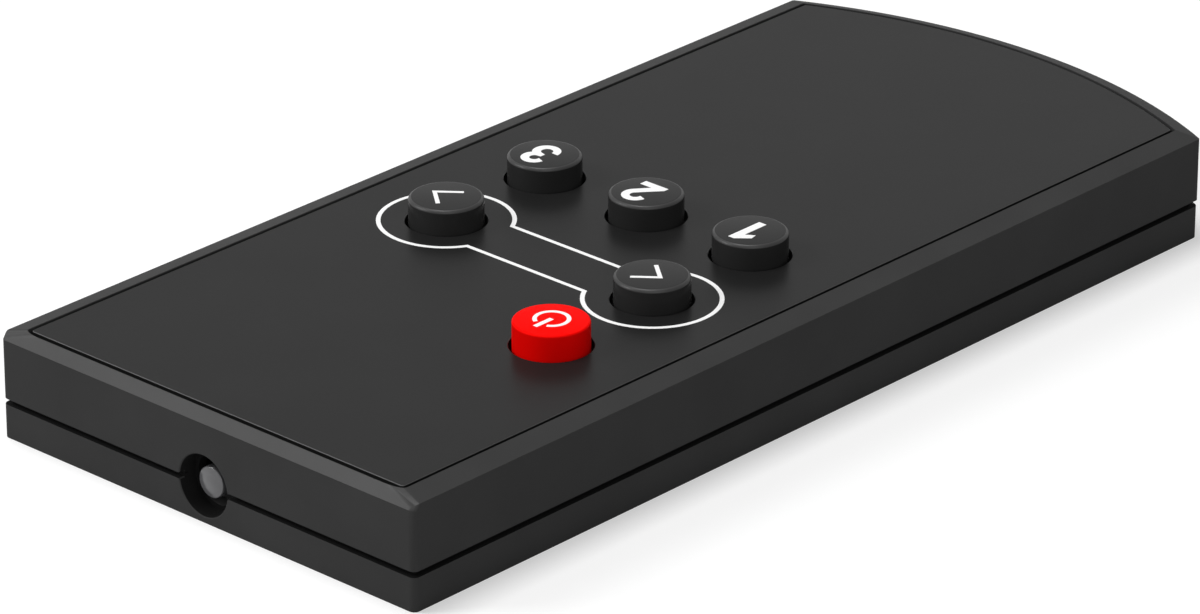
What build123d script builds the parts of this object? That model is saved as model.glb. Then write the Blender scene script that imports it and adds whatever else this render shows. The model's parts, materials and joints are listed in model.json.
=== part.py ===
from build123d import *
import math
import os

# A slim infrared remote with six round keys, in millimetres.
# +Z is up. The emitter end faces -Y and the user holds the rounded +Y end.
# The origin is under the middle of the case, on the plane that it rests on.
# Seen by the user, left is +X, because the keys are read from the +Y end.

# Overall plan of the case
body_width = 40.0
body_length = 88.0
end_bulge = 4.66
corner_radius = 0.5

# Case walls
floor_thickness = 1.0
wall = 1.5
deck_thickness = 0.85
edge_break = 0.12
cavity_corner = 1.0

# Shadow groove where the two shells meet, and the tongue inside it
parting_height = 2.78
groove_height = 0.44
groove_depth = 0.35
tongue_gap = 0.1
tongue_thickness = 0.6
tongue_height = 0.92

# Snap hooks on the tongue and their windows in the top shell
hook_length = 3.0
hook_reach = 0.3
hook_height = 0.4
hook_drop = 0.1
hook_gap = 0.12
hook_count = 4
hook_front_inset = 16.0
hook_end_inset = 9.3

# Rim round the face plate: its width, and how far it falls to the outer wall
rim_side = 1.72
rim_front = 0.79
rim_end = 1.37
rim_side_fall = 0.43
rim_front_fall = 0.86
rim_end_fall = 0.45
rim_corner = 0.45
roof_base = 2.0

# Face plate and its adhesive
plate_thickness = 0.8
adhesive_thickness = 0.05
adhesive_margin = 0.6
plate_gap = 0.3
plate_corner = 0.25
plate_bevel = 0.1

# Coin cell
cell_diameter = 20.0
cell_height = 2.5
cell_can_wall = 0.3
cell_rim = 1.3
cell_cap_thickness = 0.3
cell_crimp_step = 0.25
cell_cap_round = 0.2
cell_float = 0.1
cell_headroom = 0.1

# Battery drawer
cell_clearance = 0.15
drawer_side = 1.45
drawer_front = 1.2
drawer_back = 0.8
ledge_thickness = 0.35
ledge_width = 1.65
drawer_gap = 0.15
block_overhang = 0.9
block_least_depth = 1.6
drawer_lift = 0.05
rail_thickness = 0.9
nail_groove_width = 12.0
nail_groove_radius = 0.7

# Circuit board
board_gap = 0.25
board_thickness = 0.8
board_edge_gap = 0.4
board_front_gap = 0.1
board_end_gap = 0.6
board_corner = 1.0
post_radius = 1.2
pin_radius = 0.6
pin_gap = 0.1
pin_stand = 0.55
boss_wall = 0.75
boss_gap = 0.05
post_side_inset = 2.4
post_front_inset = 5.2
post_end_inset = 3.3
post_mat_gap = 1.05

# Keys, seen from above, and how they are built up from the board
key_pitch_x = 10.0
number_row_y = 0.6
row_pitch = 10.32
key_radius = 2.75
key_gap = 0.25
key_proud = 1.87
key_edge_round = 0.3
key_travel = 0.7
flange_reach = 0.75
flange_thickness = 0.32
flange_gap = 0.06
key_wall = 0.85
key_roof = 0.85
key_rib = 0.6
boss_thickness = 0.22
pill_thickness = 0.22
pill_radius = 1.4
contact_margin = 0.02
pad_thickness = 0.04
pad_radius = 2.0
pad_split = 0.4

# Keypad mat and its domes
mat_thickness = 0.4
mat_corner = 1.5
dome_radius = 3.55
dome_foot = 0.55
dome_web = 0.25
dome_seam = 0.05
pill_room = 0.1
frame_room = 0.5
frame_rib = 0.8
frame_rib_inset = 0.2
frame_rib_gap = 0.05

# Emitter in the end wall
recess_radius = 2.3
recess_depth = 1.5
lens_radius = 1.2
lens_setback = 0.55
lens_edge_round = 0.5
lens_gap = 0.2
emitter_flange = 1.42
emitter_flange_thickness = 0.5
emitter_seat_gap = 0.03
collar_half_width = 3.4
collar_wall = 0.5
collar_gap = 0.1
lead_radius = 0.22
lead_pitch = 1.2
lead_run = 1.65
lead_bend = 0.6
lead_stand = 0.4
lead_hole_gap = 0.1
cradle_half_width = 1.6
cradle_gap = 0.04
notch_width = 0.7
notch_height = 0.8

# Parts soldered under the board, each with its middle as (x, distance behind the board's front edge)
chip_length = 9.9
chip_width = 3.9
chip_height = 1.5
chip_stand = 0.15
chip_place = (-6.5, 11.2)
chip_leg_pitch = 1.27
chip_leg_width = 0.4
chip_leg_span = 6.0
chip_leg_foot = 0.6
chip_leg_thickness = 0.2
chip_legs_a_side = 8
resonator_size = (7.4, 3.4, 1.8)
resonator_place = (7.5, 10.2)
capacitor_size = (3.5, 2.8, 1.9)
capacitor_place = (7.0, 16.7)
transistor_size = (2.9, 1.3, 1.0)
transistor_place = (0.0, 5.2)
transistor_leg = 0.4
resistor_size = (2.0, 1.25, 0.5)
resistor_places = ((4.5, 5.0), (-2.5, 17.2), (2.0, 17.2))

# Battery springs
spring_thickness = 0.2
spring_touch_gap = 0.03
negative_width = 3.5
negative_x = 5.65
negative_foot = 3.0
negative_reach = 6.5
negative_tip = 1.6
positive_width = 3.0
positive_foot = 2.5
positive_height = 0.55
slot_margin = 0.6

# Heights that follow from the stack, from the floor up
cell_bottom = floor_thickness + cell_float
cell_top = cell_bottom + cell_height
ledge_bottom = cell_top + cell_headroom
drawer_top = ledge_bottom + ledge_thickness
board_bottom = drawer_top + board_gap
board_top = board_bottom + board_thickness
pad_top = board_top + pad_thickness
mat_top = board_top + mat_thickness
pill_bottom = pad_top + contact_margin + key_travel
pill_top = pill_bottom + pill_thickness
flange_bottom = pill_top + boss_thickness
flange_top = flange_bottom + flange_thickness
deck_bottom = flange_top + flange_gap
deck_top = deck_bottom + deck_thickness
plate_bottom = deck_top + adhesive_thickness
body_height = plate_bottom + plate_thickness
key_top = body_height + key_proud

# Plan places that follow from the outline
half_width = body_width / 2
front_y = -body_length / 2
tip_y = body_length / 2
end_radius = (half_width ** 2 + end_bulge ** 2) / (2 * end_bulge)
end_centre_y = tip_y - end_radius
bottom_wall = wall + tongue_gap + tongue_thickness
hole_radius = key_radius + key_gap
flange_radius = key_radius + flange_reach
mat_margin = flange_radius + frame_room + frame_rib + frame_rib_inset
bore_radius = cell_diameter / 2 + cell_clearance
cell_cap_radius = cell_diameter / 2 - cell_rim
tray_half_width = bore_radius + drawer_side
block_half_width = tray_half_width + block_overhang
block_inner_y = end_centre_y + math.sqrt(end_radius ** 2 - block_half_width ** 2) - block_least_depth
cell_y = block_inner_y - drawer_back - bore_radius
tray_front_y = cell_y - bore_radius - drawer_front
tray_bottom = floor_thickness + drawer_gap
groove_bottom = parting_height - groove_height / 2
groove_top = parting_height + groove_height / 2
collar_front_y = front_y + recess_depth
collar_back_y = front_y + bottom_wall
emitter_front_y = collar_back_y + emitter_seat_gap
emitter_back_y = emitter_front_y + emitter_flange_thickness
lead_rise_y = emitter_back_y + lead_run
board_front_y = emitter_back_y + board_front_gap
board_half_width = half_width - bottom_wall - board_edge_gap
board_end_y = end_centre_y + math.sqrt((end_radius - wall) ** 2 - board_half_width ** 2) - board_end_gap
board_length = board_end_y - board_front_y
post_x = board_half_width - post_side_inset
boss_radius = pin_radius + pin_gap + boss_wall
post_places = (
    board_front_y + post_front_inset,
    number_row_y + mat_margin + boss_radius + post_mat_gap,
    board_end_y - post_end_inset,
)
shoulder_y = tip_y - end_bulge
hook_front_y = front_y + hook_front_inset
hook_step = (shoulder_y - hook_end_inset - hook_front_y) / (hook_count - 1)
hook_places = [hook_front_y + i * hook_step for i in range(hook_count)]

# Key name: middle of the key, seen from above
key_places = {
    "power": (key_pitch_x, number_row_y - 2 * row_pitch),
    "previous": (key_pitch_x, number_row_y - row_pitch),
    "next": (-key_pitch_x, number_row_y - row_pitch),
    "one": (key_pitch_x, number_row_y),
    "two": (0.0, number_row_y),
    "three": (-key_pitch_x, number_row_y),
}

FROM_BASE = (Align.CENTER, Align.CENTER, Align.MIN)


def block(x_range, y_range, z_range):
    """A box between two corners, given as ranges."""
    size = [abs(high - low) for low, high in (x_range, y_range, z_range)]
    middle = [(low + high) / 2 for low, high in (x_range, y_range, z_range)]
    return Pos(*middle) * Box(*size)


def post(x, y, radius, bottom, top):
    """An upright round post."""
    return Pos(x, y, bottom) * Cylinder(radius, top - bottom, align=FROM_BASE)


def rod_along_y(x, z, radius, y_from, y_to):
    """A round bar or bore that runs along Y."""
    return Pos(x, (y_from + y_to) / 2, z) * Rot(90, 0, 0) * Cylinder(radius, abs(y_to - y_from))


def rod_along_x(y, z, radius, x_from, x_to):
    """A round bar or groove that runs along X."""
    return Pos((x_from + x_to) / 2, y, z) * Rot(0, 90, 0) * Cylinder(radius, abs(x_to - x_from))


def turned(points):
    """A solid turned about the Z axis from its profile of (radius, height) points."""
    profile = Plane.XZ * make_face(Polyline(*points, close=True))
    return revolve(profile, Axis.Z)


def plan(side, front, end, corner):
    """The plan outline of the case, moved in by a distance at its sides, front and rounded end."""
    half = half_width - side
    radius = end_radius - end
    shoulder_y = end_centre_y + math.sqrt(radius ** 2 - half ** 2)
    corners = Polyline((half, shoulder_y), (half, front_y + front), (-half, front_y + front), (-half, shoulder_y))
    arc = ThreePointArc((-half, shoulder_y), (0, end_centre_y + radius), (half, shoulder_y))
    face = make_face(corners + arc)
    return fillet(face.vertices(), corner)


def raised(face, bottom, top):
    """A flat outline raised between two heights."""
    return extrude(Pos(0, 0, bottom) * face, amount=top - bottom)


def inner(inset, corner, bottom, top):
    """A block whose outline is the case's, moved in alike all round."""
    return raised(plan(inset, inset, inset, corner), bottom, top)


def outer_skin(top):
    """The case's outline raised from the table up to a height, with its lower edge broken."""
    skin = raised(plan(0, 0, 0, corner_radius), 0, top)
    return chamfer(skin.faces().sort_by(Axis.Z)[0].outer_wire().edges(), edge_break)


def sloped_roof():
    """The space under the sloped rim, from the roof's base up to the top face."""
    drop = roof_base
    side_low = rim_side - rim_side / rim_side_fall * drop
    front_low = rim_front - rim_front / rim_front_fall * drop
    end_low = rim_end - rim_end / rim_end_fall * drop
    low = Pos(0, 0, body_height - drop) * plan(side_low, front_low, end_low, corner_radius)
    high = Pos(0, 0, body_height) * plan(rim_side, rim_front, rim_end, rim_corner)
    return loft([low, high], ruled=True)


def recess():
    """The round recess in the end wall and the bore that the lens looks through."""
    mouth = rod_along_y(0, parting_height, recess_radius, front_y - wall, collar_front_y)
    bore = rod_along_y(0, parting_height, lens_radius + lens_gap, collar_front_y - wall, collar_back_y + wall)
    return mouth + bore


def recess_notches():
    """Small diamond notches where the shadow groove runs into the recess."""
    notch = Pos(0, front_y, 0) * Rot(0, 45, 0) * Box(notch_height, recess_depth, notch_height)
    side = recess_radius + notch_width - notch_height / math.sqrt(2)
    return Pos(side, 0, parting_height) * notch + Pos(-side, 0, parting_height) * notch


def hook_blocks(grow):
    """The snap hooks on both long sides, or with a positive grow the windows that take them."""
    root = half_width - wall - tongue_gap
    reach = root + hook_reach + grow
    top = parting_height + tongue_height - hook_drop
    hooks = []
    for y in hook_places:
        length = (y - hook_length / 2 - grow, y + hook_length / 2 + grow)
        height = (top - hook_height - grow, top + grow)
        start = root - tongue_thickness / 2
        hooks.append(block((start, reach), length, height))
        hooks.append(block((-reach, -start), length, height))
    return hooks


def board_posts():
    """The places of the posts that carry the board."""
    return [(side * post_x, y) for y in post_places for side in (-1, 1)]


def drawer_opening(top):
    """The gap that the drawer fills in the end wall, up to a height, and in the floor below its end block."""
    half = block_half_width + drawer_gap
    in_wall = block((-half, half), (cell_y, tip_y + wall), (floor_thickness, top))
    in_floor = block((-half, half), (block_inner_y - drawer_gap, tip_y + wall), (-wall, floor_thickness))
    return in_wall + in_floor


def bottom_shell():
    """The lower half of the case: floor, walls, tongue, hooks, rails and board posts."""
    skin = outer_skin(groove_bottom)
    core = inner(groove_depth, cavity_corner, floor_thickness, parting_height)
    tongue_top = parting_height + tongue_height
    tongue = inner(wall + tongue_gap, cavity_corner, floor_thickness, tongue_top)
    shell = skin + core + tongue
    shell -= inner(bottom_wall, cavity_corner, floor_thickness, tongue_top + wall)
    shell += hook_blocks(0)
    half = collar_half_width + collar_gap
    shell -= block((-half, half), (front_y, collar_back_y + collar_gap), (parting_height, tongue_top + wall))
    shell += [post(x, y, post_radius, floor_thickness, board_bottom) for x, y in board_posts()]
    pin_top = board_top + pin_stand
    shell += [post(x, y, pin_radius, board_bottom, pin_top) for x, y in board_posts()]
    shell -= drawer_opening(tongue_top + wall)
    rail_inner = tray_half_width + drawer_gap
    rail_outer = rail_inner + rail_thickness
    rail_y = (tray_front_y - drawer_gap, block_inner_y - drawer_gap)
    rail_z = (floor_thickness, ledge_bottom + ledge_thickness / 2)
    shell += block((rail_inner, rail_outer), rail_y, rail_z)
    shell += block((-rail_outer, -rail_inner), rail_y, rail_z)
    cradle_top = parting_height - emitter_flange - cradle_gap
    cradle_y = (collar_back_y, collar_back_y + emitter_flange_thickness)
    shell += block((-cradle_half_width, cradle_half_width), cradle_y, (floor_thickness, cradle_top))
    return shell - recess() - recess_notches()


def key_holes(radius, bottom, top):
    """A round hole for each key."""
    return [post(x, y, radius, bottom, top) for x, y in key_places.values()]


def mat_outline(margin, corner):
    """A rounded rectangle round all the keys, with a margin from their middles."""
    left = -key_pitch_x - margin
    low = key_places["power"][1] - margin
    width = 2 * (key_pitch_x + margin)
    length = number_row_y + margin - low
    return Pos(left + width / 2, low + length / 2) * RectangleRounded(width, length, corner)


def keypad_frame():
    """The rib under the deck that holds the mat's border down."""
    outer = mat_margin - frame_rib_inset
    rib = mat_outline(outer, mat_corner) - mat_outline(outer - frame_rib, mat_corner - frame_rib / 2)
    return raised(rib, mat_top + frame_rib_gap, deck_bottom)


def top_shell():
    """The upper half of the case: walls, deck, sloped rim, collar, frame rib and board bosses."""
    roof_z = body_height - roof_base
    outline = plan(0, 0, 0, corner_radius)
    shell = raised(outline, groove_top, roof_z) + (raised(outline, roof_z, body_height) & sloped_roof())
    shell += inner(groove_depth, cavity_corner, parting_height, groove_top)
    shell -= raised(plan(rim_side, rim_front, rim_end, rim_corner), deck_top, body_height + wall)
    shell -= inner(wall, cavity_corner, parting_height - wall, deck_bottom)
    collar_top = parting_height + recess_radius + collar_wall
    collar_y = (front_y + wall, collar_back_y)
    shell += block((-collar_half_width, collar_half_width), collar_y, (parting_height, collar_top))
    shell += keypad_frame()
    boss_bottom = board_top + boss_gap
    shell += [post(x, y, boss_radius, boss_bottom, deck_bottom) for x, y in board_posts()]
    shell -= [post(x, y, pin_radius + pin_gap, boss_bottom, deck_bottom) for x, y in board_posts()]
    shell -= key_holes(hole_radius, deck_bottom, deck_top)
    shell -= [window & inner(groove_depth, cavity_corner, 0, body_height) for window in hook_blocks(hook_gap)]
    shell -= drawer_opening(drawer_top + drawer_gap)
    return shell - recess() - recess_notches()


def face_plate():
    """The plate let into the rim, with a hole for each key and a fine bevel."""
    edge = plan(rim_side + plate_gap, rim_front + plate_gap, rim_end + plate_gap, plate_corner)
    plate = raised(edge, plate_bottom, body_height)
    plate = chamfer(plate.faces().sort_by(Axis.Z)[-1].outer_wire().edges(), plate_bevel)
    return plate - key_holes(hole_radius, plate_bottom, body_height)


def plate_adhesive():
    """The thin adhesive sheet between deck and plate."""
    side = rim_side + plate_gap + adhesive_margin
    front = rim_front + plate_gap + adhesive_margin
    end = rim_end + plate_gap + adhesive_margin
    sheet = raised(plan(side, front, end, plate_corner), deck_top, plate_bottom)
    return sheet - key_holes(hole_radius + adhesive_margin, deck_top, plate_bottom)


def key_cap():
    """One key, at the origin of the plan: a cap with a flange below the deck, cored out from below."""
    cap = post(0, 0, key_radius, flange_bottom, key_top)
    cap = fillet(cap.faces().sort_by(Axis.Z)[-1].edges(), key_edge_round)
    cap += post(0, 0, flange_radius, flange_bottom, flange_top)
    core_radius = key_radius - key_wall
    core_top = key_top - key_roof
    cap -= post(0, 0, core_radius, flange_bottom, core_top)
    height = (flange_bottom, core_top)
    ribs = block((-core_radius, core_radius), (-key_rib / 2, key_rib / 2), height)
    ribs += block((-key_rib / 2, key_rib / 2), (-core_radius, core_radius), height)
    return cap + ribs


def dome():
    """One collapsing dome, at the origin of the plan: foot, sloping web and boss."""
    shoulder = pill_radius + pill_room
    foot_inner = dome_radius - dome_foot
    web_foot = dome_radius - dome_web
    web_top = flange_bottom - boss_thickness / 2
    web_under = pill_bottom + pill_thickness / 2
    return turned([
        (0, flange_bottom),
        (shoulder + dome_web / 2, flange_bottom),
        (shoulder + dome_web / 2, web_top),
        (web_foot, mat_top),
        (dome_radius, mat_top),
        (dome_radius, board_top),
        (foot_inner, board_top),
        (foot_inner, mat_top - dome_web),
        (shoulder, web_under),
        (shoulder, pill_top),
        (0, pill_top),
    ])


def pill():
    """One carbon pill under its dome, at the origin of the plan."""
    return post(0, 0, pill_radius, pill_bottom, pill_top)


def keypad_mat():
    """The silicone mat on the board, with a round hole for each dome."""
    sheet = raised(mat_outline(mat_margin, mat_corner), board_top, mat_top)
    return sheet - key_holes(dome_radius + dome_seam, board_top, mat_top)


def lead_places():
    """The places of the emitter's two leads across the board."""
    return [side * lead_pitch / 2 for side in (-1, 1)]


def circuit_board():
    """The board with its pin holes and the holes for the emitter's leads."""
    middle = Pos(0, board_front_y + board_length / 2)
    outline = middle * RectangleRounded(2 * board_half_width, board_length, board_corner)
    board = raised(outline, board_bottom, board_top)
    board -= [post(x, y, pin_radius + pin_gap, board_bottom, board_top) for x, y in board_posts()]
    hole = lead_radius + lead_hole_gap
    return board - [post(x, lead_rise_y, hole, board_bottom, board_top) for x in lead_places()]


def contact_pads():
    """Two half-round carbon pads under each pill."""
    pads = []
    for x, y in key_places.values():
        disc = post(x, y, pad_radius, board_top, pad_top)
        split_z = (board_top, pad_top)
        reach = pad_radius + pad_split
        for side in (-1, 1):
            half_x = sorted((x + side * pad_split / 2, x + side * reach))
            pads.append(disc & block(half_x, (y - reach, y + reach), split_z))
    return pads


def ir_emitter():
    """The round emitter: a lens with a softened front edge and a flange behind the collar."""
    tip = -(front_y + lens_setback)
    flange_front = -emitter_front_y
    flange_back = -emitter_back_y
    lens = post(0, 0, lens_radius, flange_front, tip)
    lens = fillet(lens.faces().sort_by(Axis.Z)[-1].edges(), lens_edge_round)
    body = lens + post(0, 0, emitter_flange, flange_back, flange_front)
    return Pos(0, 0, parting_height) * Rot(90, 0, 0) * body


def emitter_leads():
    """Two round leads that run back from the emitter and bend up through the board."""
    leads = []
    for x in lead_places():
        path = FilletPolyline(
            (x, emitter_back_y, parting_height),
            (x, lead_rise_y, parting_height),
            (x, lead_rise_y, board_top + lead_stand),
            radius=lead_bend,
        )
        section = Plane(path @ 0, z_dir=path % 0) * Circle(lead_radius)
        leads.append(sweep(section, path=path))
    return leads


def under_board(size, place, stand):
    """A block soldered under the board, with a stand-off from its underside."""
    x, y = place[0], board_front_y + place[1]
    length, width, height = size
    x_range = (x - length / 2, x + length / 2)
    y_range = (y - width / 2, y + width / 2)
    return block(x_range, y_range, (board_bottom - stand - height, board_bottom - stand))


def encoder_chip():
    """The remote-control chip's body."""
    return under_board((chip_length, chip_width, chip_height), chip_place, chip_stand)


def chip_leg(side):
    """One stepped leg of the chip, at the origin of the plan, on the +Y or -Y side."""
    thickness = chip_leg_thickness
    body_edge = chip_width / 2
    tip = chip_leg_span / 2
    knee = tip - chip_leg_foot
    root_z = board_bottom - chip_stand - chip_height / 2
    foot_z = board_bottom - thickness
    profile = Polygon(
        (body_edge, root_z),
        (knee, root_z),
        (knee, foot_z),
        (tip, foot_z),
        (tip, board_bottom),
        (knee - thickness, board_bottom),
        (knee - thickness, root_z + thickness),
        (body_edge, root_z + thickness),
        align=None,
    )
    leg = extrude(Plane.YZ * profile, amount=chip_leg_width / 2, both=True)
    return leg if side > 0 else leg.mirror(Plane.XZ)


def encoder_leads():
    """The chip's two rows of legs."""
    x_middle, y_middle = chip_place[0], board_front_y + chip_place[1]
    legs = []
    for side in (-1, 1):
        for i in range(chip_legs_a_side):
            x = x_middle + (i - (chip_legs_a_side - 1) / 2) * chip_leg_pitch
            legs.append(Pos(x, y_middle, 0) * chip_leg(side))
    return legs


def ceramic_resonator():
    return under_board(resonator_size, resonator_place, 0)


def reservoir_capacitor():
    return under_board(capacitor_size, capacitor_place, 0)


def driver_transistor():
    """A small transistor with two feet on one side and one on the other."""
    length, width, _ = transistor_size
    x, y = transistor_place
    body = under_board(transistor_size, transistor_place, 0)
    foot = (transistor_leg, width / 2 + transistor_leg, chip_leg_thickness)
    for dx, side in ((-length / 3, -1), (length / 3, -1), (0, 1)):
        body += under_board(foot, (x + dx, y + side * (width / 4 + transistor_leg / 2)), 0)
    return body


def chip_resistors():
    return [under_board(resistor_size, place, 0) for place in resistor_places]


def strip(points, width, x_middle):
    """A bent spring strip of even thickness that follows (y, z) points."""
    line = Polyline(*[(y, z) for y, z in points])
    bent = extrude(Plane.YZ * trace(line, spring_thickness), amount=width / 2, both=True)
    return Pos(x_middle, 0, 0) * bent


def negative_contact():
    """The leaf under the board that rests on the cell's cap."""
    root_z = board_bottom - spring_thickness / 2
    start = tray_front_y - drawer_gap - negative_foot
    touch_y = tray_front_y + drawer_front + negative_reach
    touch_z = cell_top + spring_touch_gap + spring_thickness / 2
    points = [
        (start, root_z),
        (start + negative_foot, root_z),
        (touch_y, touch_z),
        (touch_y + negative_tip, touch_z + spring_thickness),
    ]
    return strip(points, negative_width, negative_x) & block(
        (-half_width, half_width), (front_y, tip_y), (cell_top + spring_touch_gap, board_bottom)
    )


def positive_contact():
    """The bent strip that hangs from the board and presses on the rim of the cell's can."""
    root_z = board_bottom - spring_thickness / 2
    touch_y = cell_y - cell_diameter / 2 - spring_touch_gap - spring_thickness / 2
    touch_z = cell_bottom + cell_height / 2
    back_y = touch_y - positive_foot
    points = [
        (back_y - positive_foot, root_z),
        (back_y, root_z),
        (back_y, floor_thickness + positive_height),
        (touch_y, touch_z - positive_height / 2),
        (touch_y, touch_z + positive_height),
    ]
    return strip(points, positive_width, 0)


def cell_can():
    """The coin cell's positive can, open at the top."""
    outer = post(0, cell_y, cell_diameter / 2, cell_bottom, cell_top - cell_crimp_step)
    outer = fillet(outer.faces().sort_by(Axis.Z)[0].edges(), cell_can_wall)
    return outer - post(0, cell_y, cell_diameter / 2 - cell_can_wall, cell_bottom + cell_can_wall, cell_top)


def cell_core():
    """The sealed contents of the cell."""
    top = cell_top - cell_crimp_step - cell_cap_thickness
    return post(0, cell_y, cell_cap_radius, cell_bottom + cell_can_wall, top)


def cell_seal():
    """The plastic ring between the can and the cap."""
    top = cell_top - cell_crimp_step
    ring = post(0, cell_y, cell_diameter / 2 - cell_can_wall, cell_bottom + cell_can_wall, top)
    return ring - post(0, cell_y, cell_cap_radius, cell_bottom, cell_top)


def cell_cap():
    """The cell's negative cap, a little proud of the crimped edge."""
    bottom = cell_top - cell_crimp_step - cell_cap_thickness
    cap = post(0, cell_y, cell_cap_radius, bottom, cell_top)
    return fillet(cap.faces().sort_by(Axis.Z)[-1].edges(), cell_cap_round)


def drawer_block():
    """The drawer's end block, whose outer face carries on the case's rounded end."""
    half = block_half_width
    reach = block((-half, half), (block_inner_y, tip_y + wall), (drawer_lift, drawer_top))
    end = outer_skin(drawer_top) & reach
    ring = plan(-wall, -wall, -wall, corner_radius) - plan(groove_depth, groove_depth, groove_depth, corner_radius)
    end -= raised(ring, groove_bottom, groove_top)
    groove_y = block_inner_y + block_least_depth
    end -= rod_along_x(groove_y, drawer_lift, nail_groove_radius, -nail_groove_width / 2, nail_groove_width / 2)
    return end


def battery_drawer():
    """The pull-out drawer: end block, cell tray with a ledge over the cell, and slots for the springs."""
    tray_y = (tray_front_y, block_inner_y)
    tray = block((-tray_half_width, tray_half_width), tray_y, (tray_bottom, drawer_top))
    tray -= post(0, cell_y, bore_radius, tray_bottom, ledge_bottom)
    tray -= post(0, cell_y, bore_radius - ledge_width, ledge_bottom, drawer_top)
    drawer = drawer_block() + tray
    slot_half = positive_width / 2 + slot_margin
    drawer -= block((-slot_half, slot_half), (tray_front_y, cell_y), (tray_bottom, drawer_top))
    notch_x = (negative_x - negative_width / 2 - slot_margin, negative_x + negative_width / 2 + slot_margin)
    drawer -= block(notch_x, (tray_front_y, cell_y), (cell_top, drawer_top))
    return drawer


def grouped(solids):
    """Separate solids of one node, kept apart."""
    return Compound(children=[solid for part in solids for solid in part.solids()])


def main():
    os.makedirs("parts", exist_ok=True)
    nodes = {
        "bottom_shell": bottom_shell(),
        "top_shell": top_shell(),
        "face_plate": face_plate(),
        "plate_adhesive": plate_adhesive(),
        "keypad_mat": keypad_mat(),
        "circuit_board": circuit_board(),
        "contact_pads": grouped(contact_pads()),
        "ir_emitter": ir_emitter(),
        "emitter_leads": grouped(emitter_leads()),
        "encoder_chip": encoder_chip(),
        "encoder_leads": grouped(encoder_leads()),
        "ceramic_resonator": ceramic_resonator(),
        "reservoir_capacitor": reservoir_capacitor(),
        "driver_transistor": driver_transistor(),
        "chip_resistors": grouped(chip_resistors()),
        "negative_contact": negative_contact(),
        "positive_contact": positive_contact(),
        "battery_drawer": battery_drawer(),
        "cell_can": cell_can(),
        "cell_core": cell_core(),
        "cell_seal": cell_seal(),
        "cell_cap": cell_cap(),
    }
    for name, (x, y) in key_places.items():
        nodes[f"{name}_key"] = Pos(x, y, 0) * key_cap()
        nodes[f"{name}_dome"] = Pos(x, y, 0) * dome()
        nodes[f"{name}_pill"] = Pos(x, y, 0) * pill()
    for name, shape in nodes.items():
        export_step(shape, f"parts/{name}.step")
    print("case", body_width, body_length, round(body_height, 2), "key tops at", round(key_top, 2))


main()
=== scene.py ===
import json
import math

import bmesh
import bpy
from mathutils import Matrix, Vector


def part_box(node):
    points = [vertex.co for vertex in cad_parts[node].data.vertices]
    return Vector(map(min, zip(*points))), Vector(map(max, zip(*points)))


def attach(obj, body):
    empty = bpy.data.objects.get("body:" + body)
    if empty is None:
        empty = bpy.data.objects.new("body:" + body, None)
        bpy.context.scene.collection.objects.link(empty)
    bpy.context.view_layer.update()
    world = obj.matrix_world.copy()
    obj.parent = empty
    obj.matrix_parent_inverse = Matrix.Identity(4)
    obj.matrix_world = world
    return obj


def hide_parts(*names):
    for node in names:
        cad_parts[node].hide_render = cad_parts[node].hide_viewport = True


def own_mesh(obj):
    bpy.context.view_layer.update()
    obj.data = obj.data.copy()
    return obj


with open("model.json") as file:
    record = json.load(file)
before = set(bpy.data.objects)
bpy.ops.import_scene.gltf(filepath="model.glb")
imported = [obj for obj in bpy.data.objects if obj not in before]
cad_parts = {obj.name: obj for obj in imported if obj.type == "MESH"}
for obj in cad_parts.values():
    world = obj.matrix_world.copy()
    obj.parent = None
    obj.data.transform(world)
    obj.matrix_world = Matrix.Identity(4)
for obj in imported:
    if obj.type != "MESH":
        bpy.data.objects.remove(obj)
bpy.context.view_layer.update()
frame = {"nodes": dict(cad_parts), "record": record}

# A slim infrared remote with six round keys. Shapes are worked out in millimetres in the
# frame's own axes and brought to metres when a piece is made: the emitter end faces -Y,
# the user holds the rounded +Y end, and the keys point up.
MM = 0.001


def cad(node):
    """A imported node's lowest and highest corner, in millimetres."""
    low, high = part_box(node)
    return low / MM, high / MM


shell_low, shell_high = cad("top_shell")
plate_low, plate_high = cad("face_plate")
adhesive_low = cad("plate_adhesive")[0]
dome_low, dome_high = cad("two_dome")
pill_high = cad("two_pill")[1]
drawer_low, drawer_high = cad("battery_drawer")
lens_low, lens_high = cad("ir_emitter")
can_low, can_high = cad("cell_can")
cap_low, cap_high = cad("cell_cap")
seal_low, seal_high = cad("cell_seal")
KEYS = ("power", "previous", "next", "one", "two", "three")

# Allowances: a cut goes a little wide, a cutter reaches past what it cuts, a place that is
# looked for may lie a little off, and points closer than the weld are one
shave = 0.01
past = 1
slack = 0.01
weld = 1e-4
packed_weld = 5e-4

# Plan of the case
half_width = shell_high.x
front_y = shell_low.y
tip_y = shell_high.y
end_bulge = 4.66
end_radius = (half_width ** 2 + end_bulge ** 2) / (2 * end_bulge)
end_centre_y = tip_y - end_radius
corner_radius = 0.5
foot_round = 0.04

# Heights and walls of the case
parting_z = shell_low.z
roof_z = shell_high.z
deck_top = adhesive_low.z
floor_top = 1.0
groove_half_height = 0.22
groove_low = parting_z - groove_half_height
groove_high = parting_z + groove_half_height
groove_depth = 0.5
groove_edge = 0.03

# Where the outer skin, which is made new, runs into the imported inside, whose posts, ribs and
# hooks are kept: within the wall, the deck and the floor
skin_inset = 1.2
inside_inset = 0.9
inside_lip = 0.02
deck_middle = 7.1
cavity_top = 6.9
floor_middle = 0.6
floor_overlap = 0.4

# Rim round the face plate, whose chamfers fall to the walls
rim_side = 1.67
rim_front = 0.6
rim_end = 1.35
rim_fall = 0.44
rim_front_fall = 0.86
rim_land = 0.03
rim_break = 0.03
hip_round = 0.5
shoulder_round = 0.125

# Painted highlight on the rim over the emitter, where a glossier copy of the case plastic stands: how far
# back it goes, and how it has to face
front_highlight_depth = 1.6
front_highlight_facing = -0.25

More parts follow.
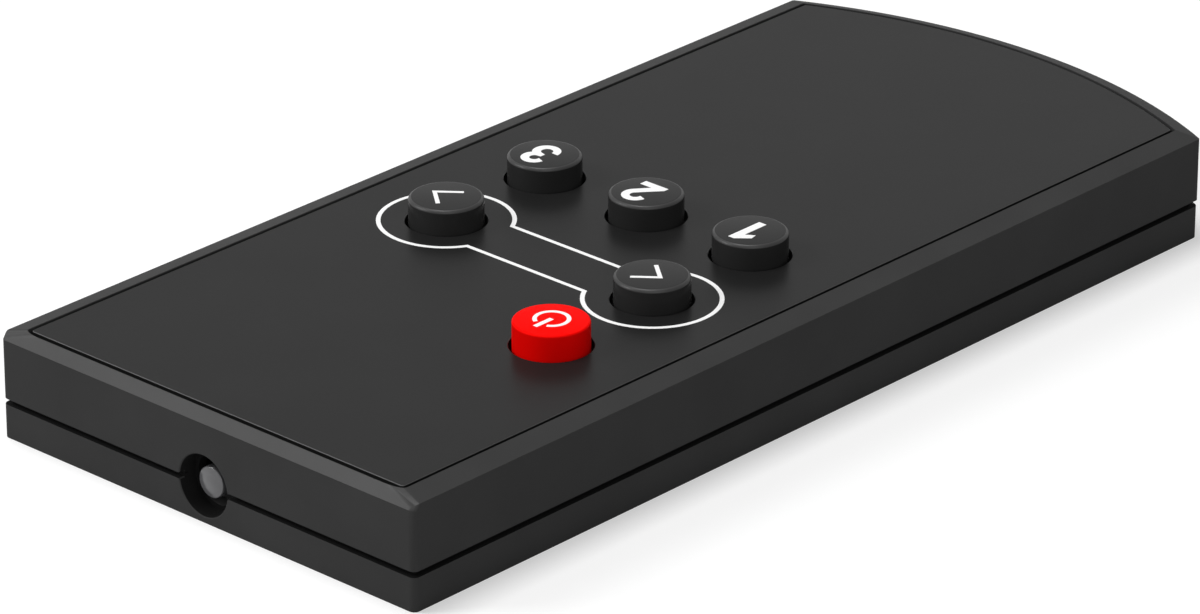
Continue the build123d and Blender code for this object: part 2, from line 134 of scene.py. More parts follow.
# Face plate
plate_corner = 0.25
plate_edge_round = 0.08
hole_radius = 3.0
hole_break = 0.06
deck_hole_depth = 1.4

# Keys
key_radius = 2.75
key_edge_round = 0.3
power_edge_round = 0.16
key_core_radius = 1.9
key_roof = 0.85
key_flange_height = 0.32
key_flange_reach = 0.75
key_rib = 0.6
key_rib_overlap = 0.1

# Rubber domes, which stand on the board and carry a pill: radii, and heights above the table
dome_foot_radius = (dome_high.x - dome_low.x) / 2
dome_foot_top = 5.5
dome_web_radius = 3.3
dome_boss_radius = 1.625
dome_shoulder = 6.19
dome_room_radius = 3.0
dome_room_top = 5.25
pill_seat_radius = 1.5
pill_seat_low = 5.97

# Emitter and its recess; the lens edge starts at an angle in degrees
recess_radius = 2.3
recess_depth = 1.5
recess_break = 0.07
recess_flare = 0.6
bore_radius = 1.95
lens_radius = 1.17
lens_crown = 0.2
lens_edge_round = 0.12
lens_edge_start = -75
emitter_flange = 0.5
notch_size = 0.44
notch_depth = 0.5
notch_x = 2.33

# Battery drawer
drawer_gap = 0.15
drawer_inner_y = 40.64
tray_half_width = 11.6
tray_low = floor_top + drawer_gap
tray_overlap = 0.2
cell_gap = 0.15
cell_bore = (can_high.x - can_low.x) / 2 + cell_gap
ledge_bore = 8.5
ledge_thickness = 0.35
ledge_low = drawer_high.z - ledge_thickness
nail_radius = 0.7
nail_width = 12.0
nail_y = 42.24
spring_slot = 2.1
leaf_slot_x = 5.65
leaf_slot = 2.35

# Coin cell
can_wall = 0.3
can_lip_round = 0.1
cap_edge_round = 0.2
seal_gap = 0.005

# Print: its thickness, how deep it sits, the arrow heads' tips from the middles of their keys,
# and the outline round those two keys
ink = 0.012
ink_sink = 0.002
previous_tip_x = -1.02
next_tip_x = 1.38
link_radius = 4.9
link_half_height = 2.34
link_stroke = 0.33

# How finely round shapes are cut, in steps, and a pen's arcs also in degrees to a step
END_STEPS = 36
CORNER_STEPS = 8
ROUND_STEPS = 96
ARC_STEPS = 6
EDGE_STEPS = 3
PLATE_EDGE_STEPS = 4
PEN_FEWEST_STEPS = 4
PEN_DEGREES = 5

# Angles between two faces: up to which they are one, and from which their edge is a crease,
# a corner of the plan or a sharp edge
flat_to = math.radians(0.4)
crease_from = math.radians(3)
corner_from = math.radians(10)
sharp_from = math.radians(32)

# The upward part of a slanting face's normal
slant_low = 0.2
slant_high = 0.98


def verts_of(geometry):
    """The points among what an operator gave back."""
    return [g for g in geometry if isinstance(g, bmesh.types.BMVert)]


def outline(bm, side, front, end, z):
    """Draws the case's plan at one height, moved in at its sides, front and rounded end."""
    before = set(bm.edges)
    half = half_width - side
    radius = end_radius - end
    lean = math.asin(half / radius)
    right = bm.verts.new((half, end_centre_y + radius * math.cos(lean), z))
    centre = (0, end_centre_y, z)
    arc = bmesh.ops.spin(
        bm, geom=[right], cent=centre, axis=(0, 0, 1), angle=2 * lean, steps=END_STEPS
    )
    left = verts_of(arc["geom_last"])[0]
    front_left = bm.verts.new((-half, front_y + front, z))
    front_right = bm.verts.new((half, front_y + front, z))
    for pair in ((left, front_left), (front_left, front_right), (front_right, right)):
        bm.edges.new(pair)
    edges = [e for e in bm.edges if e not in before]
    return bmesh.ops.edgeloop_fill(bm, edges=edges)["faces"][0]


def bevel(bm, edges, width, steps):
    """Rounds edges in a number of steps."""
    bmesh.ops.bevel(
        bm, geom=edges, offset=width, offset_type="OFFSET", segments=steps, profile=0.5,
        affect="EDGES", material=-1, clamp_overlap=True, loop_slide=True,
    )


def is_upright(edge):
    """Whether an edge runs straight up."""
    run = edge.verts[1].co - edge.verts[0].co
    return abs(run.x) + abs(run.y) < weld


def lowest_face(bm):
    """The face that lies lowest."""
    return min(bm.faces, key=lambda f: f.calc_center_median().z)


def highest_face(bm):
    """The face that lies highest."""
    return max(bm.faces, key=lambda f: f.calc_center_median().z)


def round_uprights(bm, radius):
    """Rounds the upright corners at the front and at the shoulders, all to one radius."""
    for at_front in (True, False):
        corners = [
            e for e in bm.edges
            if is_upright(e) and (e.verts[0].co.y < 0) == at_front
            and e.calc_face_angle(0) > corner_from
        ]
        turn = corners[0].calc_face_angle()
        bevel(bm, corners, radius * math.tan(turn / 2), CORNER_STEPS)


def extrude(bm, face, rise):
    """Moves a face up or down and walls the gap; a face that stood alone stays as the other end."""
    alone = all(len(e.link_faces) == 1 for e in face.edges)
    grown = bmesh.ops.extrude_face_region(bm, geom=[face])["geom"]
    bmesh.ops.translate(bm, verts=verts_of(grown), vec=(0, 0, rise))
    if not alone:
        bmesh.ops.delete(bm, geom=[face], context="FACES_ONLY")
    return [g for g in grown if isinstance(g, bmesh.types.BMFace)][0]


def outward(bm):
    """Turns every face outwards."""
    bmesh.ops.recalc_face_normals(bm, faces=bm.faces[:])
    return bm


def prism(side, front, end, corner, low, high):
    """The case's plan, moved in and raised between two heights, with round corners."""
    bm = bmesh.new()
    extrude(bm, outline(bm, side, front, end, low), high - low)
    outward(bm)
    if corner:
        round_uprights(bm, corner)
    return outward(bm)


def inner_prism(inset, low, high):
    """The case's plan, moved in alike all round, with sharp corners."""
    return prism(inset, inset, inset, 0, low, high)


def block(x_range, y_range, z_range):
    """A box between two corners, given as ranges."""
    bm = bmesh.new()
    ranges = (x_range, y_range, z_range)
    size = [high - low for low, high in ranges]
    middle = [(low + high) / 2 for low, high in ranges]
    place = Matrix.Translation(middle) @ Matrix.Diagonal((*size, 1))
    bmesh.ops.create_cube(bm, size=1, matrix=place)
    return bm


def turned(points, centre, axis=(0, 0, 1)):
    """A round form: a profile of (radius, distance along the axis) points spun about the axis."""
    bm = bmesh.new()
    along = Vector(axis)
    verts = [bm.verts.new(Vector(centre) + Vector((r, 0, 0)) + along * t) for r, t in points]
    edges = [bm.edges.new(pair) for pair in zip(verts, verts[1:])]
    bmesh.ops.spin(
        bm, geom=verts + edges, cent=centre, axis=axis, angle=2 * math.pi,
        steps=ROUND_STEPS, use_merge=True,
    )
    bmesh.ops.remove_doubles(bm, verts=bm.verts[:], dist=weld)
    return outward(bm)


def quarter(radius_at, height_at, round_radius, start, turn):
    """Points of a rounded edge in a profile, from a start angle through a turn, in degrees."""
    angles = [math.radians(start + turn * i / ARC_STEPS) for i in range(ARC_STEPS + 1)]
    return [
        (radius_at + round_radius * math.cos(a), height_at + round_radius * math.sin(a))
        for a in angles
    ]


def merged(shapes):
    """Several separate shapes as one."""
    whole = shapes[0]
    for shape in shapes[1:]:
        mesh = bpy.data.meshes.new("part")
        shape.to_mesh(mesh)
        shape.free()
        whole.from_mesh(mesh)
        bpy.data.meshes.remove(mesh)
    return whole


def workpiece(bm):
    """A short-lived object that a boolean can work on."""
    mesh = bpy.data.meshes.new("workpiece")
    bm.to_mesh(mesh)
    bm.free()
    obj = bpy.data.objects.new("workpiece", mesh)
    bpy.context.scene.collection.objects.link(obj)
    return obj


def combined(bm, operation, *tools):
    """Adds, cuts or keeps what bm shares with each tool in turn; bm and the tools are used up."""
    body = workpiece(bm)
    others = [workpiece(tool) for tool in tools]
    for other in others:
        step = body.modifiers.new("step", "BOOLEAN")
        step.solver = "EXACT"
        step.operation = operation
        step.object = other
    graph = bpy.context.evaluated_depsgraph_get()
    made = bpy.data.meshes.new_from_object(body.evaluated_get(graph), depsgraph=graph)
    result = bmesh.new()
    result.from_mesh(made)
    bpy.data.meshes.remove(made)
    for obj in (body, *others):
        mesh = obj.data
        bpy.data.objects.remove(obj)
        bpy.data.meshes.remove(mesh)
    return result


def cut(bm, *tools):
    """What is left of bm outside every tool."""
    return combined(bm, "DIFFERENCE", *tools)


def joined(bm, *tools):
    """Shapes that touch or overlap as one closed shape."""
    return combined(bm, "UNION", *tools)


def packed_copy(node):
    """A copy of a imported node's mesh, in millimetres, with its loose triangles joined."""
    bm = bmesh.new()
    bm.from_mesh(frame["nodes"][node].data)
    bmesh.ops.scale(bm, vec=(1 / MM,) * 3, verts=bm.verts[:])
    bmesh.ops.remove_doubles(bm, verts=bm.verts[:], dist=packed_weld)
    return bm


def inside_of(node, low, high):
    """The part of a packed shell that lies inside its outer skin: posts, ribs and hooks."""
    return combined(packed_copy(node), "INTERSECT", inner_prism(inside_inset, low, high))


def shade(bm):
    """Smooth faces that part at sharp edges, so that flat faces stay flat up to their corners."""
    bm.normal_update()
    for face in bm.faces:
        face.smooth = True
    for edge in bm.edges:
        edge.smooth = edge.calc_face_angle(math.pi) < sharp_from


def piece(name, bm, body, slot, *nodes, material=None):
    """Finishes a shape as a shown piece, in metres, with its slot's material or one of its own."""
    shade(bm)
    bmesh.ops.scale(bm, vec=(MM,) * 3, verts=bm.verts[:])
    mesh = bpy.data.meshes.new(name)
    bm.to_mesh(mesh)
    bm.free()
    mesh.materials.append(material or MATERIALS[slot])
    obj = bpy.data.objects.new(name, mesh)
    bpy.context.scene.collection.objects.link(obj)
    even = obj.modifiers.new("even shading", "WEIGHTED_NORMAL")
    even.keep_sharp = True
    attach(obj, body)
    if nodes:
        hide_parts(*nodes)
    return obj


def slants_up(face, low):
    """Whether a finished face looks up at a slant and lies above a height in millimetres."""
    return slant_low < face.normal.z < slant_high and face.center.z > low * MM


def paint_edge_highlight(obj, low, material):
    """Gives a finished piece's rounded upper edge, from a height up, a glossier material: a painted
    highlight along the edge.
    """
    obj.data.materials.append(material)
    for face in obj.data.polygons:
        if slants_up(face, low):
            face.material_index = 1


def paint_hollow_shade(obj):
    """Gives the faces inside the shadow groove and the emitter's recess a darker copy of the case
    plastic, which paints shade into them.
    """
    low, high = (groove_low - shave) * MM, (groove_high + shave) * MM
    mouth = Vector((0, front_y, parting_z)) * MM
    reach = (recess_radius + 2 * shave) * MM
    deep = (recess_depth + past) * MM
    obj.data.materials.append(PAINTED_HOLLOW_SHADE)
    for face in obj.data.polygons:
        corners = [obj.data.vertices[i].co - mouth for i in face.vertices]
        in_groove = all(low < c.z + mouth.z < high for c in corners)
        in_recess = all(c.y < deep and math.hypot(c.x, c.z) < reach for c in corners)
        if in_groove or in_recess:
            face.material_index = 1


def paint_front_highlight(obj):
    """Gives the upper case's chamfer over the emitter, with its two hips, a glossier copy of the case
    plastic: a painted highlight.
    """
    obj.data.materials.append(PAINTED_FRONT_HIGHLIGHT)
    for face in obj.data.polygons:
        at_front = face.center.y < (front_y + front_highlight_depth) * MM and face.normal.y < front_highlight_facing
        if at_front and slants_up(face, roof_z - rim_front_fall):
            face.material_index = 2


# Materials

# How finely a noise is drawn, and the middle stretch of it that carries a change
WANDER_DETAIL = 4
GRAIN_DETAIL = 2
NOISE_LOW = 0.3
NOISE_HIGH = 0.7


def grey(level):
    """An even grey."""
    return level, level, level


def finish(name, colour, roughness, drift=0.06, drift_size=6.0, grain_size=0.3, grain=0.004, **sockets):
    """A surface whose colour and roughness drift a little, with a fine grain; sizes in millimetres."""
    material = bpy.data.materials.new(name)
    material.use_nodes = True
    nodes, links = material.node_tree.nodes, material.node_tree.links
    shader = nodes["Principled BSDF"]
    for socket, value in sockets.items():
        shader.inputs[socket.replace("_", " ")].default_value = value
    place = nodes.new("ShaderNodeTexCoord").outputs["Object"]

    def noise(size, detail):
        node = nodes.new("ShaderNodeTexNoise")
        node.inputs["Scale"].default_value = 1 / (size * MM)
        node.inputs["Detail"].default_value = detail
        links.new(place, node.inputs["Vector"])
        return node.outputs["Fac"]

    wander = noise(drift_size, WANDER_DETAIL)
    ramp = nodes.new("ShaderNodeValToRGB")
    for stop, change in zip(ramp.color_ramp.elements, (1 - drift, 1 + drift)):
        stop.color = (*(min(c * change, 1) for c in colour), 1)
    ramp.color_ramp.elements[0].position = NOISE_LOW
    ramp.color_ramp.elements[1].position = NOISE_HIGH
    links.new(wander, ramp.inputs["Fac"])
    links.new(ramp.outputs["Color"], shader.inputs["Base Color"])

    gloss = nodes.new("ShaderNodeMapRange")
    gloss.inputs["From Min"].default_value = NOISE_LOW
    gloss.inputs["From Max"].default_value = NOISE_HIGH
    gloss.inputs["To Min"].default_value = roughness * (1 - drift)
    gloss.inputs["To Max"].default_value = roughness * (1 + drift)
    fine = noise(grain_size, GRAIN_DETAIL)
    links.new(fine, gloss.inputs["Value"])
    links.new(gloss.outputs["Result"], shader.inputs["Roughness"])

    bump = nodes.new("ShaderNodeBump")
    bump.inputs["Strength"].default_value = 1
    bump.inputs["Distance"].default_value = grain * MM
    links.new(fine, bump.inputs["Height"])
    links.new(bump.outputs["Normal"], shader.inputs["Normal"])
    return material


MATERIALS = {
    "case_plastic": finish("case plastic", grey(0.045), 0.55, grain=0.0015, Specular_IOR_Level=0.018),
    "plate_plastic": finish("plate plastic", grey(0.0125), 0.3, grain=0.0015, Specular_IOR_Level=0.047),
    "key_plastic": finish("key plastic", grey(0.026), 0.24, grain=0.001, Specular_IOR_Level=0.04),
    "power_key_plastic": finish(
        "power key plastic", (0.95, 0.002, 0.001), 0.45, drift=0.02, grain=0.001, Specular_IOR_Level=0.02
    ),
    "adhesive": finish("adhesive", (0.5, 0.5, 0.47), 0.6),
    "silicone": finish("silicone", (0.22, 0.23, 0.24), 0.5, Subsurface_Weight=0.1),
    "carbon": finish("carbon pill", grey(0.012), 0.55),
    "board_laminate": finish("solder mask", (0.02, 0.12, 0.045), 0.3, drift=0.12, drift_size=0.8),
    "carbon_ink": finish("carbon ink", (0.014, 0.014, 0.015), 0.6, grain_size=0.1),
    "emitter_resin": finish(
        "emitter resin", (0.11, 0.11, 0.115), 0.2, drift=0.05, drift_size=0.8, grain=0.0005, IOR=1.55
    ),
    "tinned_wire": finish("tinned wire", (0.72, 0.72, 0.7), 0.28, Metallic=1.0),
    "chip_epoxy": finish("chip epoxy", (0.016, 0.016, 0.017), 0.5, grain_size=0.08, grain=0.006),
    "resonator_ceramic": finish("resonator ceramic", (0.72, 0.69, 0.6), 0.4),
    "capacitor_body": finish("capacitor body", (0.72, 0.33, 0.04), 0.35),
    "spring_steel": finish("spring steel", (0.66, 0.63, 0.56), 0.26, Metallic=1.0),
    "cell_steel": finish("cell steel", (0.7, 0.7, 0.71), 0.22, grain=0.001, Metallic=1.0),
    "cell_seal_plastic": finish("cell seal plastic", grey(0.04), 0.45),
    "cell_contents": finish("cell contents", (0.07, 0.07, 0.075), 0.7),
}
# Painted shade: a darker copy of the case plastic for the groove and the recess
PAINTED_HOLLOW_SHADE = finish("painted hollow shade", grey(0.012), 0.7, Specular_IOR_Level=0.02)
# Painted highlight: a glossier copy of the case plastic for the chamfer over the emitter
PAINTED_FRONT_HIGHLIGHT = finish("painted front highlight", grey(0.045), 0.36, grain=0.0015, Specular_IOR_Level=0.12)
# Painted highlight: a darker, glossier copy of the key plastic for the keys' rounded edges
PAINTED_KEY_EDGE_HIGHLIGHT = finish("painted key edge highlight", grey(0.021), 0.42, grain=0.001, Specular_IOR_Level=0.3)
# Painted highlight: a glossier copy of the plate plastic for the plate's rounded edge
PAINTED_PLATE_EDGE_HIGHLIGHT = finish("painted plate edge highlight", grey(0.014), 0.42, grain=0.001, Specular_IOR_Level=0.5)
WHITE_INK = finish("white ink", grey(0.92), 0.5, drift=0.02, drift_size=1.0, grain_size=0.12, grain=0.001)


def dress_packed_nodes():
    """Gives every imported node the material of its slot."""
    for part in frame["record"]["subparts"]:
        for slot in frame["nodes"][part["node"]].material_slots:
            slot.material = MATERIALS[part["material_slot"]]


# Case


def groove_step(low, high):
    """The wall at the back of the shadow groove."""
    return prism(groove_depth, groove_depth, groove_depth, corner_radius - groove_depth, low, high)


def rim_creases(bm, at_front):
    """The slanting edges at one end where two chamfers of the rim meet."""
    return [
        e for e in bm.edges
        if e.verts[0].co.x * e.verts[1].co.x > 0
        and all(abs(v.co.x) > half_width - rim_side - slack for v in e.verts)
        and abs(e.verts[0].co.y - e.verts[1].co.y) < rim_side
        and (e.verts[0].co.y < 0) == at_front
        and e.calc_face_angle(0) > crease_from
        and abs(e.verts[0].co.z - e.verts[1].co.z) > slack
    ]


def upper_skin():
    """The upper half's outer form: wall, chamfered rim, hips, plate pocket and groove step."""
    bm = bmesh.new()
    outline(bm, 0, 0, 0, groove_high)
    outline(bm, rim_side, rim_front, rim_end, roof_z)
    for vert in outline(bm, 0, 0, 0, roof_z - rim_fall).verts:
        if vert.co.y < 0:
            vert.co.z = roof_z - rim_front_fall
    hip_y = front_y + rim_front * (1 - rim_fall / rim_front_fall)
    for side in (-1, 1):
        bm.verts.new((side * half_width, hip_y, roof_z - rim_fall))
    bmesh.ops.delete(bm, geom=bm.edges[:], context="EDGES_FACES")
    bmesh.ops.convex_hull(bm, input=bm.verts[:])
    spare = [v for v in bm.verts if not v.link_faces]
    bmesh.ops.delete(bm, geom=spare, context="VERTS")
    outward(bm)
    bmesh.ops.dissolve_limit(bm, angle_limit=flat_to, verts=bm.verts[:], edges=bm.edges[:])
    for at_front, width in ((True, hip_round), (False, shoulder_round)):
        bevel(bm, rim_creases(bm, at_front), width, CORNER_STEPS)
    bevel(bm, lowest_face(bm).edges[:], groove_edge, EDGE_STEPS)
    top = highest_face(bm)
    bmesh.ops.inset_individual(bm, faces=[top], thickness=rim_land, use_even_offset=True)
    bmesh.ops.inset_individual(
        bm, faces=[top], thickness=rim_break, depth=-rim_break, use_even_offset=True
    )
    extrude(bm, top, deck_top - roof_z + rim_break)
    return joined(outward(bm), groove_step(parting_z + inside_lip, groove_high + past))


def lower_skin():
    """The lower half's outer form, with its broken foot edge and the groove step."""
    bm = prism(0, 0, 0, corner_radius, 0, groove_low)
    bevel(bm, lowest_face(bm).edges[:], foot_round, EDGE_STEPS)
    bevel(bm, highest_face(bm).edges[:], groove_edge, EDGE_STEPS)
    return joined(outward(bm), groove_step(groove_low - past, parting_z - inside_lip))


def recess_cutter():
    """The round recess in the end wall, with a broken mouth, and the bore for the lens."""
    profile = [
        (0, front_y + recess_depth + past),
        (bore_radius + shave, front_y + recess_depth + past),
        (bore_radius + shave, front_y + recess_depth + shave),
        (recess_radius + shave, front_y + recess_depth + shave),
        (recess_radius + shave, front_y + recess_break),
        (recess_radius + recess_break + recess_flare, front_y - recess_flare),
        (0, front_y - recess_flare),
    ]
    return turned(profile, (0, 0, parting_z), (0, 1, 0))


def notch_cutter(side):
    """A diamond notch where the groove runs into the recess."""
    bm = bmesh.new()
    place = Matrix.Translation((side * notch_x, front_y, parting_z))
    turn = Matrix.Rotation(math.radians(45), 4, "Y")
    size = Matrix.Diagonal((notch_size, 2 * notch_depth, notch_size, 1))
    bmesh.ops.create_cube(bm, size=1, matrix=place @ turn @ size)
    return bm


def end_cutters():
    """What the end wall loses round the emitter."""
    return recess_cutter(), notch_cutter(1), notch_cutter(-1)


def drawer_cutters(top):
    """The drawer's gap in the end wall, and in the floor under its end block."""
    half = drawer_high.x + drawer_gap + shave
    beyond = tip_y + past
    middle_y = (can_low.y + can_high.y) / 2
    inner_y = drawer_inner_y - drawer_gap - shave
    in_wall = block((-half, half), (middle_y, beyond), (floor_top - shave, top + shave))
    in_floor = block((-half, half), (inner_y, beyond), (-past, floor_top + past))
    return in_wall, in_floor


def key_places():
    """Each key with its middle and its lowest and highest height."""
    for key in KEYS:
        low, high = cad(f"{key}_key")
        yield key, (low + high) / 2, low.z, high.z


def hole_cutter(low, high, radius=hole_radius, break_at=None):
    """A round hole at every key, with a broken upper edge where one is asked for."""
    profile = [(0, low), (radius, low), (radius, high), (0, high)]
    if break_at is not None:
        flare = high - break_at + hole_break
        profile[2:3] = [(radius, break_at - hole_break), (radius + flare, high)]
    return merged([turned(profile, (at.x, at.y, 0)) for _, at, _, _ in key_places()])


def upper_case():
    """The upper half: its skin, hollowed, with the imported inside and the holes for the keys."""
    shell = cut(upper_skin(), inner_prism(skin_inset, parting_z - past, cavity_top))
    shell = joined(shell, inside_of("top_shell", parting_z - past, deck_middle))
    holes = hole_cutter(deck_top - deck_hole_depth, deck_top + past, hole_radius + shave)
    return cut(shell, holes, *end_cutters(), *drawer_cutters(drawer_high.z + drawer_gap))


def lower_case():
    """The lower half: its skin, hollowed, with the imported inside."""
    shell = cut(lower_skin(), inner_prism(skin_inset, floor_middle, parting_z + past))
    shell = joined(shell, inside_of("bottom_shell", floor_middle - floor_overlap, roof_z))
    return cut(shell, *end_cutters(), *drawer_cutters(roof_z))


def top_plate():
    """The plate let into the rim, with a softened edge and a hole for each key."""
    side, front, end = half_width - plate_high.x, plate_low.y - front_y, tip_y - plate_high.y
    bm = prism(side, front, end, plate_corner, plate_low.z, roof_z)
    bevel(bm, highest_face(bm).edges[:], plate_edge_round, PLATE_EDGE_STEPS)
    return cut(bm, hole_cutter(plate_low.z - past, roof_z + past / 2, break_at=roof_z))


# Keys, domes and their legends


def key_cap(at, low, top, edge_round):
    """A key: a cap with a flange below the deck, cored out from below round a cross of ribs."""
    flange_radius = key_radius + key_flange_reach
    rounded = quarter(key_radius - edge_round, top - edge_round, edge_round, 0, 90)
    profile = [
        (0, top - key_roof),
        (key_core_radius, top - key_roof),
        (key_core_radius, low),
        (flange_radius, low),
        (flange_radius, low + key_flange_height),
        (key_radius, low + key_flange_height),
        *rounded,
        (0, top),
    ]
    cap = turned(profile, (at.x, at.y, 0))
    reach, half = key_core_radius + key_rib_overlap, key_rib / 2
    height = (low, top - key_roof + key_rib_overlap)
    ribs = [
        block((at.x - a, at.x + a), (at.y - b, at.y + b), height)
        for a, b in ((reach, half), (half, reach))
    ]
    return joined(cap, *ribs)


class Pen:
    """Draws one closed flat outline out of straight lines and arcs."""

    def __init__(self, x, y):
        self.bm = bmesh.new()
        self.first = self.last = self.bm.verts.new((x, y, 0))

    def line(self, *points):
        """Goes on to each point in turn."""
        for x, y in points:
            vert = self.bm.verts.new((x, y, 0))
            self.bm.edges.new((self.last, vert))
            self.last = vert
        return self

    def arc(self, centre, degrees):
        """Goes on round a centre, counter-clockwise where the degrees are positive."""
        steps = max(PEN_FEWEST_STEPS, int(abs(degrees) / PEN_DEGREES))
        spun = bmesh.ops.spin(
            self.bm, geom=[self.last], cent=(*centre, 0), axis=(0, 0, 1),
            angle=math.radians(degrees), steps=steps,
        )
        self.last = verts_of(spun["geom_last"])[0]
        return self

    def close(self, thickness):
        """Fills the outline and gives it a thickness."""
        self.bm.edges.new((self.last, self.first))
        face = bmesh.ops.edgeloop_fill(self.bm, edges=self.bm.edges[:])["faces"][0]
        extrude(self.bm, face, thickness)
        return outward(self.bm)


def polar(centre, radius, degrees):
    """A point on a circle."""
    angle = math.radians(degrees)
    return centre[0] + radius * math.cos(angle), centre[1] + radius * math.sin(angle)


def bowl(pen, centre, radius, start, end):
    """Carries a pen by a line to an arc's start, and along the arc to its end."""
    return pen.line(polar(centre, radius, start)).arc(centre, end - start)


def digit_one():
    """A slab stem with a slanting flag."""
    stem_left, stem_right, top, foot = -0.24, 0.45, 1.87, -1.45
    flag = ((-0.07, top), (-1.03, 1.03), (-0.91, 0.46), (stem_left, 0.87))
    pen = Pen(stem_right, foot).line((stem_right, top), *flag, (stem_left, foot))
    return pen.close(ink)


def digit_two():
    """A bowl whose stroke runs down to a foot bar."""
    left, right, foot, heel, bar, bar_left = -0.92, 1.25, -1.36, -0.93, -0.72, 0.17
    inner, inner_radius = (0.18, 0.98), 0.4
    outer, outer_radius = (0.2, 0.95), 1.03
    pen = Pen(left, foot).line((left, heel))
    bowl(pen, inner, inner_radius, -42, 195)
    bowl(pen, outer, outer_radius, 172, -32)
    pen.line((bar_left, bar), (right, bar), (right, foot))
    return pen.close(ink)


def digit_three():
    """Two bowls, each an arc back and an arc out: centre, radius, and from and to in degrees."""
    waist_x, waist_top, waist_low = -0.12, 0.55, 0.1
    arcs = (
        ((0.13, 0.97), 0.37, -75, 195),
        ((0.16, 0.96), 0.99, 172, -35),
        ((0.19, -0.41), 1.07, 47, -180),
        ((0.16, -0.43), 0.45, -180, 75),
    )
    pen = Pen(waist_x, waist_top)
    for centre, radius, start, end in arcs:
        bowl(pen, centre, radius, start, end)
    pen.line((waist_x, waist_low))
    return pen.close(ink)


def chevron(tip_x, side):
    """An arrow head of two square-ended arms, opening to one side of its tip."""
    stroke, lean, length, lift = 0.31, math.radians(39.5), 2.3, 0.02
    along = Vector((math.cos(lean), math.sin(lean)))
    across = Vector((math.sin(lean), -math.cos(lean))) * stroke
    inner_tip = stroke / math.sin(lean)
    far_out, far_in = along * length, along * length + across
    points = [far_out, far_in, (inner_tip, 0), (far_in.x, -far_in.y), (far_out.x, -far_out.y)]
    if side < 0:
        points.reverse()
    pen = Pen(tip_x, lift)
    pen.line(*((tip_x + side * p[0], lift + p[1]) for p in points))
    return pen.close(ink)


def power_mark():
    """A broken ring with a bar that stands in its gap."""
    centre, radius, stroke, gap = (0.09, -0.15), 1.35, 0.31, 26
    bar_half, bar_top = 0.19, 1.55
    pen = Pen(*polar(centre, radius, 90 + gap)).arc(centre, 360 - 2 * gap)
    bowl(pen, centre, radius - stroke, 90 - gap, 90 + gap - 360)
    x, y = centre
    bar = Pen(x - bar_half, y).line((x + bar_half, y), (x + bar_half, bar_top), (x - bar_half, bar_top))
    return merged([pen.close(ink), bar.close(ink)])


LEGENDS = {
    "power": power_mark,
    "previous": lambda: chevron(previous_tip_x, 1),
    "next": lambda: chevron(next_tip_x, -1),
    "one": digit_one,
    "two": digit_two,
    "three": digit_three,
}


def legend(key, at, top):
    """A key's legend, turned so that it reads from the user's end."""
    bm = LEGENDS[key]()
    turn = Matrix.Rotation(math.pi, 4, "Z")
    bmesh.ops.transform(bm, matrix=Matrix.Translation((at.x, at.y, top)) @ turn, verts=bm.verts[:])
    return bm


def link_shape(left, right, radius, half_height, low, high):
    """The filled outline of two discs joined by a bar, between two heights."""
    lean = math.degrees(math.asin(half_height / radius))
    pen = Pen(*polar(right, radius, lean - 180)).arc(right, 360 - 2 * lean)
    bowl(pen, left, radius, lean, 360 - lean)
    bm = pen.close(high - low)
    bmesh.ops.translate(bm, verts=bm.verts[:], vec=(0, 0, low))
    return bm


def link_print(left, right):
    """The printed line round both arrow keys."""
    half = link_stroke / 2
    outer = (link_radius + half, link_half_height + half)
    inner = (link_radius - half, link_half_height - half)
    whole = link_shape(left, right, *outer, roof_z - ink_sink, roof_z + ink)
    middle = link_shape(left, right, *inner, roof_z - past, roof_z + past)
    return cut(whole, middle)


def dome(at):
    """A collapsing dome: foot, sloping web and the boss that carries the pill."""
    profile = [
        (0, dome_high.z),
        (dome_boss_radius, dome_high.z),
        (dome_boss_radius, dome_shoulder),
        (dome_web_radius, dome_foot_top),
        (dome_foot_radius, dome_foot_top),
        (dome_foot_radius, dome_low.z),
        (dome_room_radius, dome_low.z),
        (dome_room_radius, dome_room_top),
        (pill_seat_radius, pill_seat_low),
        (pill_seat_radius, pill_high.z),
        (0, pill_high.z),
    ]
    return turned(profile, (at.x, at.y, 0))


# Emitter


def emitter():
    """The round lens with its slight crown and softened edge, and the flange behind the wall."""
    tip, back = lens_low.y, lens_high.y
    flat = lens_radius - lens_edge_round
    edge_y = tip + lens_crown + lens_edge_round
    crown_radius = (flat ** 2 + lens_crown ** 2) / (2 * lens_crown)
    lean = math.degrees(math.asin(flat / crown_radius))
    profile = [
        *quarter(0, tip + crown_radius, crown_radius, -90, lean),
        *quarter(flat, edge_y, lens_edge_round, lens_edge_start, -lens_edge_start),
        (lens_radius, back - emitter_flange),
        (lens_high.x, back - emitter_flange),
        (lens_high.x, back),
        (0, back),
    ]
    return turned(profile, (0, 0, parting_z), (0, 1, 0))


# Battery drawer and cell


def end_block():
    """The drawer's end, which carries on the case's own end, with its foot, groove and nail groove."""
    low, high = drawer_low, drawer_high
    skin = prism(0, 0, 0, 0, 0, high.z)
    bevel(skin, lowest_face(skin).edges[:], foot_round, EDGE_STEPS)
    reach = block((low.x, high.x), (drawer_inner_y, tip_y + past), (low.z, high.z + past))
    end = combined(skin, "INTERSECT", reach)
    around = cut(inner_prism(-past, groove_low, groove_high), inner_prism(groove_depth, 0, roof_z))
    half = nail_width / 2
    nail = turned([(0, -half), (nail_radius, -half), (nail_radius, half), (0, half)], (0, 0, 0))
    lying = Matrix.Rotation(math.pi / 2, 3, "Y")
    bmesh.ops.rotate(nail, cent=(0, 0, 0), matrix=lying, verts=nail.verts[:])
    bmesh.ops.translate(nail, verts=nail.verts[:], vec=(0, nail_y, low.z))
    return cut(end, around, nail)


